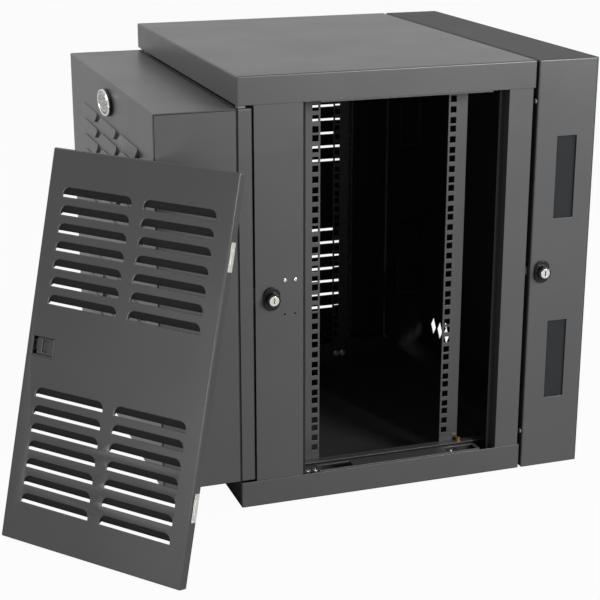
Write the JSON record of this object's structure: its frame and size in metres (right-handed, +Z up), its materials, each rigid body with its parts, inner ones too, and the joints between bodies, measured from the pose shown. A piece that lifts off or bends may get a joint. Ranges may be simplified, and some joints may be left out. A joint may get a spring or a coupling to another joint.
{
  "type": "wall mount network cabinet",
  "caption": "Swing-out wall mount network cabinet: wall section, hinged centre section with rack rails, deep louvred front door, one side panel taken off and leaning on it.",
  "frame": {"origin": "centre of the four wall bolt holes, on the back face of the wall section", "axes": "+X to the cabinet's right as seen from its front door, +Y into the wall, +Z up"},
  "size_m": [0.8202, 0.8989, 0.6374],
  "materials": {
    "black_powder_coat": "fine textured satin black powder coat on folded steel",
    "zinc": "bright zinc plated steel",
    "nickel": "bright nickel plate",
    "black_plastic": "satin black plastic",
    "bristle": "black nylon bristles",
    "grey_rubber": "light grey rubber",
    "brass": "brass earth stud",
    "badge": "plain domed badge with a metallic rim"
  },
  "bodies": {
    "rear_section": {"wall_frame": "black_powder_coat", "back_panel": "black_powder_coat", "brush_holders": "black_plastic", "brush_bristles": "bristle", "swing_lock_body": "black_plastic", "swing_lock_nut": "zinc", "seam_bumpers": "grey_rubber", "swing_hinge_wall_leaves": "black_powder_coat", "swing_hinge_pins": "zinc"},
    "centre_section": {"top_pan": "black_powder_coat", "bottom_pan": "black_powder_coat", "front_right_post": "black_powder_coat", "front_left_post": "black_powder_coat", "rear_right_post": "black_powder_coat", "rear_left_post": "black_powder_coat", "upper_right_ledge": "black_powder_coat", "upper_right_support": "black_powder_coat", "upper_left_ledge": "black_powder_coat", "upper_left_support": "black_powder_coat", "lower_right_ledge": "black_powder_coat", "lower_right_support": "black_powder_coat", "lower_left_ledge": "black_powder_coat", "lower_left_support": "black_powder_coat", "front_right_rail": "black_powder_coat", "front_left_rail": "black_powder_coat", "rear_right_rail": "black_powder_coat", "rear_left_rail": "black_powder_coat", "rail_screws": "zinc", "rail_nuts": "zinc", "earth_stud": "brass", "keeper_plate": "zinc", "keeper_screws": "nickel", "door_lock_body": "black_plastic", "door_lock_nut": "zinc", "swing_striker": "zinc", "swing_hinge_centre_leaves": "black_powder_coat", "door_pivot_brackets": "zinc"},
    "front_door": {"door_shell": "black_powder_coat", "door_frame": "black_powder_coat", "door_badge": "badge", "door_pads": "grey_rubber", "door_striker": "zinc", "door_pivot_pins": "zinc"},
    "door_lock": {"door_lock_cylinder": "nickel", "door_lock_cam": "zinc"},
    "swing_lock": {"swing_lock_cylinder": "nickel", "swing_lock_cam": "zinc"},
    "right_panel": {"right_side_panel": "black_powder_coat", "right_panel_latch_case": "black_plastic", "right_panel_clips": "zinc"},
    "right_panel_latch": {"right_panel_latch_slide": "black_plastic"},
    "left_panel": {"left_side_panel": "black_powder_coat", "left_panel_latch_case": "black_plastic", "left_panel_clips": "zinc"},
    "left_panel_latch": {"left_panel_latch_slide": "black_plastic"}
  },
  "joints": [
    {"name": "swing_hinge", "type": "hinge", "parent": "rear_section", "child": "centre_section", "pos_m": [-0.3009, -0.0973, 0], "axis": [0, 0, -1], "range_deg": [0, 90]},
    {"name": "door_hinge", "type": "hinge", "parent": "centre_section", "child": "front_door", "pos_m": [-0.288, -0.545, 0], "axis": [0, 0, -1], "range_deg": [0, 120]},
    {"name": "door_lock_turn", "type": "hinge", "parent": "centre_section", "child": "door_lock", "pos_m": [0.2952, -0.5025, 0], "axis": [1, 0, 0], "range_deg": [0, 90]},
    {"name": "swing_lock_turn", "type": "hinge", "parent": "rear_section", "child": "swing_lock", "pos_m": [0.2967, -0.0763, 0], "axis": [1, 0, 0], "range_deg": [0, 90]},
    {"name": "right_panel_lift", "type": "slide", "parent": "front_door", "child": "right_panel", "axis": [0, 0, 1], "range_m": [0, 0.65]},
    {"name": "right_latch_throw", "type": "slide", "parent": "right_panel", "child": "right_panel_latch", "axis": [-0.7683, -0.6401, 0], "range_m": [0, 0.006]},
    {"name": "left_panel_off", "type": "slide", "parent": "centre_section", "child": "left_panel", "axis": [-1, 0, 0], "range_m": [0, 0.15]},
    {"name": "left_latch_throw", "type": "slide", "parent": "left_panel", "child": "left_panel_latch", "axis": [0, -1, 0], "range_m": [0, 0.006]}
  ]
}
